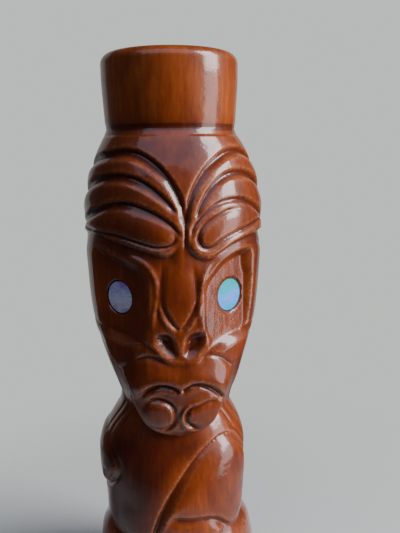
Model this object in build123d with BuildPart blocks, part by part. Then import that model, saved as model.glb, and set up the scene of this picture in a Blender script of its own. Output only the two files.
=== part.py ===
from build123d import *
import math
import os

os.makedirs("parts", exist_ok=True)

# A drinking mug carved from one block of wood, in millimetres.  +Z is up, the origin is the centre of the
# foot, and the face looks along -Y.  Azimuth is measured round +Z from the front, positive towards +X.

# ---- driving dimensions ----
TOTAL_HEIGHT = 282.0
COLLAR_BASE = 250.0  # underside of the plain collar
COLLAR_TOP_RADIUS = 32.6
COLLAR_BASE_RADIUS = 31.4
RIM_ROUNDING = 5.0
NECK_GROOVE_RADIUS = 30.2
NECK_GROOVE_HEIGHT = 247.5
HEAD_TOP = 244.0
HEAD_TOP_RADIUS = 32.2

BORE_RADIUS = 22.0
BORE_DEPTH = 150.0
BORE_FLOOR_ROUNDING = 6.0
LIP_ROUNDING = 1.2

PLINTH_RADIUS = 41.0
PLINTH_HEIGHT = 12.0
PLINTH_EDGE = 1.5

BROW_MIDLINE = 4.0  # azimuth of the dip between the brows, which leans a little to one side
EYE_HEIGHT = 171.5
EYE_AZIMUTH = {"left": -42.5, "right": 38.5}  # the viewer's left and right
EYE_SEAT_DISTANCE = 39.2  # from the mug's axis to the flat round the disc
DISC_RADIUS = 7.5
DISC_THICKNESS = 1.8
DISC_SINK = 0.5  # the disc's face below the flat
BED_WALL = 0.6
BED_FLOOR = 0.7

SOCKET_DEPTH = 3.2
GROOVE_DEPTH = 1.8
GROOVE_WIDTH = 2.6
CHEST_DEPTH = 3.0

# Oval sections: height, half width, depth to the front, depth to the back, shift towards +X.
HEAD_SECTIONS = [
    (244, 32.2, 32.2, 32.2, 0.0),
    (232, 38.4, 37.3, 36.9, 0.6),
    (216, 42.6, 41.6, 40.8, 0.6),
    (198, 44.1, 43.5, 42.0, 0.6),
    (178, 43.2, 43.8, 41.5, 0.5),
    (157, 41.4, 43.4, 39.8, 0.4),
    (140, 36.6, 42.6, 37.0, 0.3),
    (124, 31.6, 40.4, 33.6, 0.8),
    (110, 27.6, 36.0, 31.4, 0.8),
    (98, 24.0, 30.0, 28.0, 0.4),
]
BODY_SECTIONS = [
    (134, 20.0, 14.0, 29.0, 0.4),
    (110, 28.4, 24.5, 32.6, 0.0),
    (98, 34.4, 29.8, 34.8, -1.2),
    (82, 37.9, 34.2, 36.5, -1.8),
    (66, 36.9, 35.9, 35.4, -1.5),
    (50, 36.2, 36.8, 34.5, -1.2),
    (30, 38.8, 38.2, 37.4, -0.5),
    (8, 40.0, 39.8, 39.8, 0.0),
]


def facing(azimuth):
    """Upright plane through the mug's axis, looking outwards at this azimuth."""
    a = math.radians(azimuth)
    return Plane(
        origin=(0, 0, 0),
        x_dir=(math.cos(a), math.sin(a), 0),
        z_dir=(math.sin(a), -math.cos(a), 0),
    )


def oval_loft(sections, inset=0.0):
    """Solid through the oval sections, with every section made smaller by inset."""
    with BuildPart() as form:
        for height, side, front, back, shift in sections:
            with BuildSketch(Plane.XY.offset(height)):
                with Locations((shift, (back - front) / 2)):
                    Ellipse(side - inset, (front + back) / 2 - inset)
        loft()
    return form.part


def on_plane(points, plane_azimuth, radius, side, midline=0.0):
    """(degrees from the midline, height) to the coordinates of the plane at plane_azimuth."""
    placed = []
    for angle, height in points:
        turn = math.radians(midline + side * angle - plane_azimuth)
        placed.append((radius * math.sin(turn), height))
    return placed


def groove_cutter(lines, plane_azimuth, radius, core, side=1, midline=0.0):
    """Cutters for grooves of one width that stop at the surface of core."""
    with BuildPart() as cutter:
        for points in lines:
            with BuildSketch(facing(plane_azimuth)):
                with BuildLine() as path:
                    Spline(*on_plane(points, plane_azimuth, radius, side, midline))
                trace(path.line, line_width=GROOVE_WIDTH)
            extrude(amount=radius + 15)
        add(core, mode=Mode.SUBTRACT)
    return cutter.part


def patch_cutter(outline, plane_azimuth, radius, core, side=1):
    """Cutter for a sunk patch with a smooth closed outline, down to the surface of core."""
    with BuildPart() as cutter:
        with BuildSketch(facing(plane_azimuth)):
            with BuildLine():
                Spline(*on_plane(outline, plane_azimuth, radius, side), periodic=True)
            make_face()
        extrude(amount=radius + 15)
        add(core, mode=Mode.SUBTRACT)
    return cutter.part


# ---- lines of the carving: (degrees from the midline, height) ----
BROW_LINES = [
    [(1, 207), (2, 214), (8, 224), (18, 232.5), (30, 237), (46, 239), (62, 238), (78, 233), (98, 224)],
    [(9, 211), (14, 219), (25, 226), (38, 229), (54, 228.5), (70, 225), (92, 217)],
    [(3, 203), (9, 210), (20, 215), (36, 217), (50, 215), (68, 210), (88, 203)],
    [(6, 200), (9, 194.5), (17, 193.5), (27, 197), (40, 200), (56, 202), (74, 201)],
]
SOCKET_OUTLINE = [
    (62, 193), (46, 195), (33, 192), (23, 188.5), (16, 182), (14, 170), (15, 157), (22, 149.5), (38, 152),
    (56, 154), (60, 172),
]
CHEEK_LINE = [(7, 141.5), (16, 147), (30, 152), (46, 153.5), (64, 155)]
MOUTH_LINES = [
    [(0, 129.5), (6, 131.5), (12, 132), (20, 130), (32, 123)],
    [(19, 124.5), (9, 124.5), (4, 120), (2.5, 113), (9, 106.5)],
]
LIP_LINE = [(12, 143), (22, 142), (32, 138), (38, 131), (34, 123)]
NOSE_LINE = [(0.5, 159), (5, 163.5), (9, 169), (12, 174)]
NOSTRIL = (8.5, 152)
NOSTRIL_RADIUS = 3.4
NOSTRIL_DEPTH = 3.5
JAW_OUTLINE = [
    (-48, 149), (-34, 137), (-25.5, 125), (-20.5, 112), (-12, 104.5), (1, 102), (15, 103.5), (23.5, 112),
    (28, 125), (36, 137), (48, 149),
]
ARM_LINE = [(64, 89), (54, 96), (44, 98.5), (32, 97), (20, 93.5), (9, 88), (-3, 79), (-13, 69), (-23, 52)]
ARM_UNDERSIDE = [(-9, 62), (4, 60), (16, 59.5), (28, 58), (38, 52)]
CHEST_OUTLINE = [
    (28, 97), (8, 87.5), (-6, 76), (-15, 65), (-24, 53), (-38, 52), (-46, 62), (-42, 78), (-36, 92),
    (-14, 102), (16, 103),
]
KNEE_LINE = [(8, 43), (18, 48), (32, 47), (46, 41), (56, 31)]
SHIN_LINE = [(10, 15), (12, 28), (22, 35), (34, 33), (40, 24), (42, 15)]
SHOULDER_BLADES = [(-42, 74), (-26, 90), (0, 96), (26, 90), (42, 74)]

# ---- skins of the head and body, at and under the surface ----
HEAD_RADIUS = 42.0
BODY_RADIUS = 37.0
SIDE_PLANE = 42.0  # azimuth, either way, of the planes that the brows and sockets are drawn on

head_form = oval_loft(HEAD_SECTIONS)
head_under_grooves = oval_loft(HEAD_SECTIONS, GROOVE_DEPTH)
head_under_sockets = oval_loft(HEAD_SECTIONS, SOCKET_DEPTH)
body_form = oval_loft(BODY_SECTIONS)
body_under_grooves = oval_loft(BODY_SECTIONS, GROOVE_DEPTH)
body_under_chest = oval_loft(BODY_SECTIONS, CHEST_DEPTH)

# ---- cutters for the carving ----
cutters = []
for side in (-1, 1):
    side_azimuth = side * SIDE_PLANE
    brow_azimuth = BROW_MIDLINE + side_azimuth
    cutters += [
        groove_cutter(BROW_LINES, brow_azimuth, HEAD_RADIUS, head_under_grooves, side, BROW_MIDLINE),
        groove_cutter([CHEEK_LINE], side_azimuth, HEAD_RADIUS, head_under_grooves, side),
        patch_cutter(SOCKET_OUTLINE, side_azimuth, HEAD_RADIUS, head_under_sockets, side),
        groove_cutter(MOUTH_LINES + [LIP_LINE, NOSE_LINE], 0, HEAD_RADIUS, head_under_grooves, side),
        groove_cutter([KNEE_LINE, SHIN_LINE], side_azimuth, BODY_RADIUS, body_under_grooves, side),
    ]
cutters += [
    patch_cutter(CHEST_OUTLINE, 0, BODY_RADIUS, body_under_chest),
    groove_cutter([ARM_LINE, ARM_UNDERSIDE], SIDE_PLANE / 2, BODY_RADIUS, body_under_grooves),
    groove_cutter([SHOULDER_BLADES], 180, BODY_RADIUS, body_under_grooves, 1, 180),
]

# ---- the carved block ----
with BuildPart() as carved_body:
    # Head, with the jaw's outline cut from the front.
    add(head_form)
    with BuildSketch(Plane.XZ):
        with BuildLine():
            Spline(*JAW_OUTLINE)
            Polyline(JAW_OUTLINE[-1], (48, HEAD_TOP + 2), (-48, HEAD_TOP + 2), JAW_OUTLINE[0])
        make_face()
    extrude(amount=60, both=True, mode=Mode.INTERSECT)

    # Neck, shoulders and trunk, and the round plinth.
    add(body_form)
    with BuildSketch():
        Circle(PLINTH_RADIUS)
    extrude(amount=PLINTH_HEIGHT)

    # Carving.
    for cutter in cutters:
        add(cutter, mode=Mode.SUBTRACT)

    # Flats for the eyes, with the drilled pockets, and the nostrils.
    for azimuth in EYE_AZIMUTH.values():
        seat = facing(azimuth).offset(EYE_SEAT_DISTANCE)
        with BuildSketch(seat):
            with Locations((0, EYE_HEIGHT)):
                Circle(DISC_RADIUS + 3.5)
        extrude(amount=10, mode=Mode.SUBTRACT)
        with BuildSketch(seat):
            with Locations((0, EYE_HEIGHT)):
                Circle(DISC_RADIUS + BED_WALL)
        extrude(amount=-(DISC_SINK + DISC_THICKNESS + BED_FLOOR), mode=Mode.SUBTRACT)
    for side in (-1, 1):
        angle, height = NOSTRIL
        with BuildSketch(facing(side * angle).offset(HEAD_RADIUS - NOSTRIL_DEPTH)):
            with Locations((0, height)):
                Circle(NOSTRIL_RADIUS)
        extrude(amount=10, mode=Mode.SUBTRACT)

    # Collar with its rounded rim and the V groove between it and the head.
    with BuildSketch(Plane.XZ):
        with BuildLine():
            Polyline(
                (0, HEAD_TOP - 2),
                (HEAD_TOP_RADIUS - 0.8, HEAD_TOP - 2),
                (HEAD_TOP_RADIUS, HEAD_TOP),
                (NECK_GROOVE_RADIUS, NECK_GROOVE_HEIGHT),
                (COLLAR_BASE_RADIUS, COLLAR_BASE),
                (COLLAR_TOP_RADIUS, TOTAL_HEIGHT - RIM_ROUNDING),
            )
            RadiusArc(
                (COLLAR_TOP_RADIUS, TOTAL_HEIGHT - RIM_ROUNDING),
                (COLLAR_TOP_RADIUS - RIM_ROUNDING, TOTAL_HEIGHT),
                -RIM_ROUNDING,
            )
            Polyline((COLLAR_TOP_RADIUS - RIM_ROUNDING, TOTAL_HEIGHT), (0, TOTAL_HEIGHT), (0, HEAD_TOP - 2))
        make_face()
    revolve(axis=Axis.Z)

    # The bore, with a rounded floor and a softened lip.
    with BuildSketch(Plane.XZ):
        with BuildLine():
            floor = TOTAL_HEIGHT - BORE_DEPTH
            lip = TOTAL_HEIGHT - LIP_ROUNDING
            Polyline((0, TOTAL_HEIGHT + 1), (0, floor), (BORE_RADIUS - BORE_FLOOR_ROUNDING, floor))
            RadiusArc(
                (BORE_RADIUS - BORE_FLOOR_ROUNDING, floor),
                (BORE_RADIUS, floor + BORE_FLOOR_ROUNDING),
                -BORE_FLOOR_ROUNDING,
            )
            Line((BORE_RADIUS, floor + BORE_FLOOR_ROUNDING), (BORE_RADIUS, lip))
            RadiusArc((BORE_RADIUS, lip), (BORE_RADIUS + LIP_ROUNDING, TOTAL_HEIGHT), LIP_ROUNDING)
            Polyline(
                (BORE_RADIUS + LIP_ROUNDING, TOTAL_HEIGHT),
                (BORE_RADIUS + LIP_ROUNDING, TOTAL_HEIGHT + 1),
                (0, TOTAL_HEIGHT + 1),
            )
        make_face()
    revolve(axis=Axis.Z, mode=Mode.SUBTRACT)

    # Softened edges of the plinth.
    foot_edges = carved_body.edges().filter_by(GeomType.CIRCLE).group_by(Axis.Z)[0]
    chamfer(foot_edges, PLINTH_EDGE)

carved_body.part.label = "carved_body"
export_step(carved_body.part, "parts/carved_body.step")

# ---- the eyes: a shell disc in a cup of dark setting pitch, in each drilled pocket ----
for name, azimuth in EYE_AZIMUTH.items():
    back = EYE_SEAT_DISTANCE - DISC_SINK - DISC_THICKNESS

    with BuildPart() as bed:
        with BuildSketch(facing(azimuth).offset(back - BED_FLOOR)):
            with Locations((0, EYE_HEIGHT)):
                Circle(DISC_RADIUS + BED_WALL)
        extrude(amount=BED_FLOOR + DISC_THICKNESS)
        with BuildSketch(facing(azimuth).offset(back)):
            with Locations((0, EYE_HEIGHT)):
                Circle(DISC_RADIUS)
        extrude(amount=DISC_THICKNESS, mode=Mode.SUBTRACT)
    bed.part.label = f"{name}_eye_bed"
    export_step(bed.part, f"parts/{name}_eye_bed.step")

    with BuildPart() as inlay:
        with BuildSketch(facing(azimuth).offset(back)):
            with Locations((0, EYE_HEIGHT)):
                Circle(DISC_RADIUS)
        extrude(amount=DISC_THICKNESS)
        chamfer(inlay.faces().sort_by(SortBy.DISTANCE)[-1].edges(), 0.2)
    inlay.part.label = f"{name}_eye_inlay"
    export_step(inlay.part, f"parts/{name}_eye_inlay.step")
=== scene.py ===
import math

import bpy
import numpy as np
from mathutils import Matrix, Vector


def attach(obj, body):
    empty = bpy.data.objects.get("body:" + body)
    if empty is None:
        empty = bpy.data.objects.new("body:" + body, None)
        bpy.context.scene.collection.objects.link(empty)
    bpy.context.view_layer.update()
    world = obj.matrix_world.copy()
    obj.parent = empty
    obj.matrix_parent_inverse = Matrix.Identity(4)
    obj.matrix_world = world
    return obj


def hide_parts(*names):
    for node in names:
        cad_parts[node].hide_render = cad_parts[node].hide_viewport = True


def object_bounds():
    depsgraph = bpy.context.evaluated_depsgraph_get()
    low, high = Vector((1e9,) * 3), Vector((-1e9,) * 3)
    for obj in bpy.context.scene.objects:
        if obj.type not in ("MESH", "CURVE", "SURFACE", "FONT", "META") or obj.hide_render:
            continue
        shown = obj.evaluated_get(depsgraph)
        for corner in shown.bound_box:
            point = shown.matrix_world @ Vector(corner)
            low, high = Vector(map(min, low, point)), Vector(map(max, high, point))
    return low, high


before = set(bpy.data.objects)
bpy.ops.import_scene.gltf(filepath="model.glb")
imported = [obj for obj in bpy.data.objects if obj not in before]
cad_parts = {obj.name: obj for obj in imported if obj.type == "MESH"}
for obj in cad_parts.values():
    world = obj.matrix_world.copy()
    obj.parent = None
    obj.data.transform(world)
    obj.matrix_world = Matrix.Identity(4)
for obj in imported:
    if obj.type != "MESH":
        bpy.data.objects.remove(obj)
cad_low, cad_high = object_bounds()

# The mug is sculpted in millimetres as a surface whose distance from the upright axis depends on azimuth
# and height. Azimuth is in degrees from the front (-Y), positive towards +X. The lines of the carving are
# lists of (azimuth, height) points with a smooth curve through them, and widths and depths along them are
# in millimetres.

MM = 0.001

# ---- sizes ----
TOTAL_HEIGHT = 282.0
COLLAR_BASE = 250.0
COLLAR_TOP_RADIUS = 32.6
COLLAR_BASE_RADIUS = 31.4
COLLAR_FLARE = 20.0  # height over which the collar widens
RIM_ROUNDING = 5.0
HEAD_TOP = 244.0
HEAD_TOP_RADIUS = 32.2
NECK_GROOVE = (247.5, 30.9)  # height, radius
BORE_RADIUS = 22.0
BORE_FLOOR = 132.0
BORE_FLOOR_ROUNDING = 6.0
LIP_ROUNDING = 1.2
PLINTH_TOP = 12.0
PLINTH_RADIUS = 41.0
PLINTH_EDGE = 1.5
PLINTH_BEVEL = 1.2

# Radii at which widths are true on each part of the carving.
HEAD_RADIUS = 42.0
JAW_RADIUS = 38.0
BODY_RADIUS = 37.0

EYE_HEIGHT = 171.5
EYES = {"left": -42.5, "right": 38.5}
EYE_SEAT = 39.2  # from the axis to the flat round the disc
POCKET_RADIUS = 8.1
POCKET_DEPTH = 3.2
POCKET_RING = 0.7  # points this near the pocket's rim move onto it
POCKET_STEP = 0.02  # half the width of the pocket's wall

BROW_DEPTH = 2.2
BROW_EDGE = 0.22  # rounding of the crests between the brow grooves
FOREHEAD_STAIN = 0.35
# painted shade: how dark the chest under the chin is painted
CHEST_SHADE = 0.9
# painted shadow: how dark the groove under the collar is painted, and how far that reaches
NECK_SHADE = 0.9
NECK_SHADE_REACH = 1.5
KEPT_UNDER_A_CUT = 0.35  # part of the older relief that shows at the bottom of a groove
SHADED_PART = 0.8  # part of a groove's wall that the painted shade reaches
PALE_CREST_START = 0.09  # an edge that stands further above its surroundings starts to turn paler, partly as wear and partly as a painted highlight
PALE_CREST_RANGE = 0.18

# Oval sections: height, half width, depth to the front, depth to the back.
HEAD_SECTIONS = [
    (244, 32.3, 32.2, 32.2), (238, 35.7, 34.8, 34.6), (230, 38.9, 37.8, 37.4), (221, 41.2, 40.3, 39.8),
    (210, 42.9, 42.3, 41.4), (198, 43.6, 43.2, 41.8), (185, 42.9, 43.2, 41.6), (170, 42.0, 43.0, 41.0),
    (157, 40.5, 42.6, 39.6), (153, 39.8, 42.2, 39.0), (149, 38.4, 41.6, 38.4), (144.5, 37.3, 41.2, 37.7),
    (140, 36.0, 40.7, 36.8), (131, 33.3, 38.4, 34.8),
    (123, 30.8, 33.6, 33.2), (116, 28.6, 27.5, 32.2), (110, 27.4, 24.5, 32.0),
]
JAW_TOP = 152  # the jaw's slab ends here
JAW_SIDE = 41.0
JAW_EDGE = 3.0  # rounding between the jaw's front and its side walls
JAW_BLEND = 1.0
NECK_BLEND = 1.2
HEAD_POWER = 2.15  # 2 is an ellipse, and more is squarer
BODY_POWER = 2.2

# The head and the trunk each lean a little to one side: height, shift towards +X.
HEAD_LEAN = [(110, 0.8), (124, 0.9), (138, 0.4), (160, 0.3), (190, 0.5), (225, 0.6), (240, 0.3), (244, 0.0)]
JAW_FRONT = [(104, 33.6), (108, 36.2), (114, 38.2), (122, 39.6), (131, 40.5), (140, 41.2), (152, 42.2)]
JAW_WIDTH = [
    (103.6, 1.0), (104.2, 5.0), (105.3, 8.7), (107.8, 13.0), (111, 16.7), (116, 19.3), (121, 21.2),
    (127, 22.6), (133, 24.4), (138, 27.5), (144, 32.5), (152, 36.0),
]
BODY_SECTIONS = [
    (128, 20.0, 14.0, 30.0), (118, 27.0, 21.0, 31.5), (110, 28.4, 25.8, 32.6), (105, 31.0, 28.0, 33.4),
    (100, 33.8, 29.9, 34.6), (94, 36.2, 31.6, 35.6), (87, 37.5, 33.4, 36.4), (79, 37.4, 34.8, 36.4),
    (70, 36.6, 35.8, 35.6), (62, 36.1, 36.4, 34.8), (55, 36.0, 36.8, 34.4), (48, 36.4, 37.2, 34.6),
    (40, 37.6, 37.8, 35.8), (30, 39.0, 38.6, 37.6), (20, 39.6, 39.2, 38.8), (12, 39.6, 39.4, 39.2),
]
BODY_LEAN = [(12, 0.0), (30, -0.5), (50, -1.2), (80, -1.7), (105, -0.8), (128, 0.0)]


# ---- curves and blends ----
def smooth_table(rows, column, at):
    """Monotone cubic through one column of a table whose first column is the height."""
    table = np.array(sorted(rows), float)
    x, y = table[:, 0], table[:, column]
    h = np.diff(x)
    d = np.diff(y) / h
    m = np.zeros_like(y)
    m[0], m[-1] = d[0], d[-1]
    for i in range(1, len(x) - 1):
        if d[i - 1] * d[i] > 0:
            a, b = 2 * h[i] + h[i - 1], h[i] + 2 * h[i - 1]
            m[i] = (a + b) / (a / d[i - 1] + b / d[i])
    at = np.clip(at, x[0], x[-1])
    k = np.clip(np.searchsorted(x, at) - 1, 0, len(h) - 1)
    s = (at - x[k]) / h[k]
    rise = (1 + 2 * s) * (1 - s) ** 2 * y[k] + s * s * (3 - 2 * s) * y[k + 1]
    return rise + s * (1 - s) ** 2 * h[k] * m[k] + s * s * (s - 1) * h[k] * m[k + 1]


def larger(a, b, blend):
    """The larger of two surfaces, with the edge where they meet rounded over about this width."""
    h = np.clip(0.5 + 0.5 * (a - b) / blend, 0, 1)
    return b + (a - b) * h + blend * h * (1 - h)


def smaller(a, b, blend):
    """The smaller of two surfaces, rounded in the same way."""
    return -larger(-a, -b, blend)


def step_up(x, low, high):
    """0 below low, 1 above high, smooth between."""
    s = np.clip((x - low) / (high - low), 0, 1)
    return s * s * (3 - 2 * s)


def oval(azimuth, side, front, back, power=HEAD_POWER):
    """Radius of an oval at each azimuth."""
    a = np.radians(azimuth)
    depth = np.where(np.cos(a) > 0, front, back)
    across, along = np.abs(np.sin(a)) / side, np.abs(np.cos(a)) / depth
    return (across**power + along**power) ** (-1 / power)


def through(points, closed=False, pieces=10):
    """Smooth curve (Catmull-Rom) through the points, as a row of short straight pieces."""
    p = np.array(points, float)
    if closed:
        p = np.vstack([p[-1], p, p[0], p[1]])
    else:
        p = np.vstack([2 * p[0] - p[1], p, 2 * p[-1] - p[-2]])
    t = np.linspace(0, 1, pieces, endpoint=False)[:, None]
    rows = []
    for a, b, c, d in zip(p[:-3], p[1:-2], p[2:-1], p[3:]):
        rows.append(0.5 * (2 * b + (c - a) * t + (2 * a - 5 * b + 4 * c - d) * t**2
                           + (3 * b - a - 3 * c + d) * t**3))
    rows.append(p[-2][None, :])
    return np.vstack(rows)


class Sheet:
    """The sculpted surface: a grid of points in azimuth and height, with the height of the relief on it."""

    def __init__(self, azimuth, height):
        self.azimuth = azimuth
        self.height = height
        self.plain = plain_radius(azimuth, height)
        self.relief = np.zeros_like(azimuth)
        # darkening painted on the surface: painted shade in the cuts, the pocket, under the chin and under
        # the collar, and a darker tone on the forehead
        self.shade_and_stain = np.zeros_like(azimuth)
        self.middle = 0.0  # azimuth that lines are measured from
        self.radius = HEAD_RADIUS

    def measure_from(self, radius, middle=0.0):
        """Lines are true to size at this radius, and their azimuths count from the middle."""
        self.radius = radius
        self.middle = middle

    def across(self):
        """Distance round the surface from the middle, in millimetres."""
        turn = (self.azimuth - self.middle + 180) % 360 - 180
        return np.radians(turn) * self.radius

    def to_mm(self, points, closed=False):
        """Smooth line through (azimuth, height) points, in millimetres on the surface."""
        p = np.array(points, float)
        p[:, 0] = np.radians(p[:, 0]) * self.radius
        return through(p, closed)

    def near(self, line, reach):
        """Grid points near a line, with their distance from it and their place along it, from 0 to 1.
        The distance is positive to the left of travel."""
        x, z = self.across(), self.height
        low, high = line.min(0) - reach, line.max(0) + reach
        pick = np.nonzero((x > low[0]) & (x < high[0]) & (z > low[1]) & (z < high[1]))
        px, pz = x[pick], z[pick]
        best = np.full(px.shape, 1e9)
        signed = np.full(px.shape, 1e9)
        place = np.zeros(px.shape)
        steps = np.hypot(*np.diff(line, axis=0).T)
        run = np.concatenate([[0], np.cumsum(steps)])
        for i in range(len(line) - 1):
            (ax, az), (bx, bz) = line[i], line[i + 1]
            ux, uz, size = bx - ax, bz - az, steps[i]
            if size < 1e-9:
                continue
            t = np.clip(((px - ax) * ux + (pz - az) * uz) / size**2, 0, 1)
            qx, qz = px - ax - t * ux, pz - az - t * uz
            dist = np.hypot(qx, qz)
            closer = dist < best
            best[closer] = dist[closer]
            side = np.sign(ux * (pz - az) - uz * (px - ax))
            signed[closer] = (dist * side)[closer]
            place[closer] = ((run[i] + t * size) / run[-1])[closer]
        return pick, signed, place

    def groove(self, points, depth, left, right, ends=(0.1, 0.1), edge=0.5, shade_and_stain=1.0, widths=None):
        """Cuts a V along a line. left and right are the widths of its walls; ends are the parts of its
        length over which it fades in and out; widths scales it at even steps along the line."""
        line = self.to_mm(points)
        scale = np.array(widths if widths is not None else [1.0], float)
        reach = 1.5 * max(left, right) * scale.max() + 2
        pick, d, t = self.near(line, reach)
        size = np.interp(t, np.linspace(0, 1, len(scale)), scale) if len(scale) > 1 else scale[0]
        fade = np.ones_like(t)
        if ends[0] > 0:
            fade *= step_up(t, 0, ends[0])
        if ends[1] > 0:
            fade *= 1 - step_up(t, 1 - ends[1], 1)
        wall = np.where(d > 0, left, right) * size
        cut = -depth * size * (1 - np.abs(d) / wall)
        old = self.relief[pick]
        cut_in = smaller(old, old * KEPT_UNDER_A_CUT + cut, edge)
        self.relief[pick] = old + fade * np.minimum(cut_in - old, 0)
        # painted shade: the groove is darkened most along its bottom
        groove_shade = shade_and_stain * fade * np.clip(1 - np.abs(d) / (SHADED_PART * wall), 0, 1)
        self.shade_and_stain[pick] = np.maximum(self.shade_and_stain[pick], groove_shade)

    def ridge(self, points, height, width, ends=(0.2, 0.2)):
        """Raises a rounded bead along a line, which fades in and out over its ends."""
        line = self.to_mm(points)
        pick, d, t = self.near(line, 3 * width)
        fade = step_up(t, 0, ends[0]) * (1 - step_up(t, 1 - ends[1], 1))
        self.relief[pick] += height * fade * np.exp(-((d / width) ** 2))

    def inside(self, outline, reach=0.0):
        """Grid points in or near a closed outline, with their distance inside it (negative outside)."""
        line = self.to_mm(outline, closed=True)
        pick, d, _ = self.near(line, reach)
        x, z = self.across()[pick], self.height[pick]
        odd = np.zeros(x.shape, bool)
        for (ax, az), (bx, bz) in zip(line[:-1], line[1:]):
            if az != bz:
                odd ^= ((az > z) != (bz > z)) & (x < (bx - ax) * (z - az) / (bz - az) + ax)
        return pick, np.where(odd, 1, -1) * np.abs(d)

    def sink(self, outline, wall, floor, edge=0.5):
        """Lowers the inside of an outline to the floor, over a sloping wall of this width. Either can be a
        function of the grid points, where it changes from place to place."""
        pick, d = self.inside(outline, 2.0)
        level = floor(pick) if callable(floor) else floor
        slope = level * d / (wall(pick) if callable(wall) else wall)
        cut = np.where(d > 0, np.maximum(level, slope), np.maximum(slope, 0))
        old = self.relief[pick]
        deep = np.clip(-level / edge, 0, 1)
        self.relief[pick] = old + deep * np.minimum(smaller(old, cut, edge) - old, 0)

    def swell(self, outline, height, shoulder):
        """Raises the inside of an outline like a cushion, rounded over the width of the shoulder."""
        pick, d = self.inside(outline, 0.5)
        u = np.clip(d / shoulder, 0, 1)
        self.relief[pick] += height * u * (2 - u)

    def darken(self, outline, amount, shoulder):
        """Darkens the inside of an outline, more and more over the width of the shoulder."""
        pick, d = self.inside(outline, 0.5)
        self.shade_and_stain[pick] = np.maximum(self.shade_and_stain[pick], amount * step_up(d, 0, shoulder))


def neighbours(values, step):
    """Mean of a grid's values over each point and the eight points this many steps away."""
    moves = [(i, j) for i in (-step, 0, step) for j in (-step, 0, step)]
    return sum(np.roll(values, move, (0, 1)) for move in moves) / len(moves)


def worn_and_lit_edges(relief):
    """How far the surface stands proud of what is round it, from 0 to 1, evened out a little. Such crests
    are painted paler, partly as wear and partly as a painted highlight.
    """
    proud = np.clip((relief - neighbours(relief, 2) - PALE_CREST_START) / PALE_CREST_RANGE, 0, 1)
    return neighbours(proud, 1)


# ---- the uncarved form ----
def collar_radius(z):
    """The collar with its rounded rim, and the groove under it."""
    flare = np.clip((z - COLLAR_BASE) / COLLAR_FLARE, 0, 1)
    radius = COLLAR_BASE_RADIUS + (COLLAR_TOP_RADIUS - COLLAR_BASE_RADIUS) * flare
    up = np.clip((z - (TOTAL_HEIGHT - RIM_ROUNDING)) / RIM_ROUNDING, 0, 1)
    radius = radius - RIM_ROUNDING * (1 - np.sqrt(1 - up * up))
    height, deepest = NECK_GROOVE
    neck = np.interp(z, [HEAD_TOP, height - 0.4, height + 0.2, COLLAR_BASE + 0.4],
                     [HEAD_TOP_RADIUS, deepest, deepest, COLLAR_BASE_RADIUS])
    return np.where(z < COLLAR_BASE + 0.4, neck, radius)


def jaw_radius(azimuth, z):
    """The front slab of the jaw: a curved front between two upright walls."""
    front = smooth_table(JAW_FRONT, 1, z)
    half = smooth_table(JAW_WIDTH, 1, z)
    wall = half / np.maximum(np.abs(np.sin(np.radians(azimuth))), 1e-3)
    slab = smaller(oval(azimuth, JAW_SIDE, front, front), np.minimum(wall, 80), JAW_EDGE)
    return np.where((np.cos(np.radians(azimuth)) > 0) & (z > JAW_WIDTH[0][0]), slab, 0)


def plain_radius(azimuth, z):
    """Distance from the axis to the uncarved surface."""
    head = oval(azimuth, *[smooth_table(HEAD_SECTIONS, c, z) for c in (1, 2, 3)])
    head = head + smooth_table(HEAD_LEAN, 1, z) * np.sin(np.radians(azimuth))
    head = np.where(z < HEAD_SECTIONS[-1][0], 0, head)
    head = np.where(z < JAW_TOP, larger(head, jaw_radius(azimuth, z), JAW_BLEND), head)
    body = oval(azimuth, *[smooth_table(BODY_SECTIONS, c, z) for c in (1, 2, 3)], power=BODY_POWER)
    body = body + smooth_table(BODY_LEAN, 1, z) * np.sin(np.radians(azimuth))
    body = np.where(z < BODY_SECTIONS[0][0], body, 0)
    figure = larger(head, body, NECK_BLEND)
    plinth = PLINTH_RADIUS - PLINTH_EDGE * (1 - np.clip(z / PLINTH_EDGE, 0, 1))
    bevel = np.clip((z - (PLINTH_TOP - PLINTH_BEVEL)) / PLINTH_BEVEL, 0, 1)
    plinth = plinth - PLINTH_BEVEL * bevel**2
    figure = np.where(z < PLINTH_TOP, plinth, figure)
    return np.where(z >= HEAD_TOP, collar_radius(z), figure)


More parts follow.
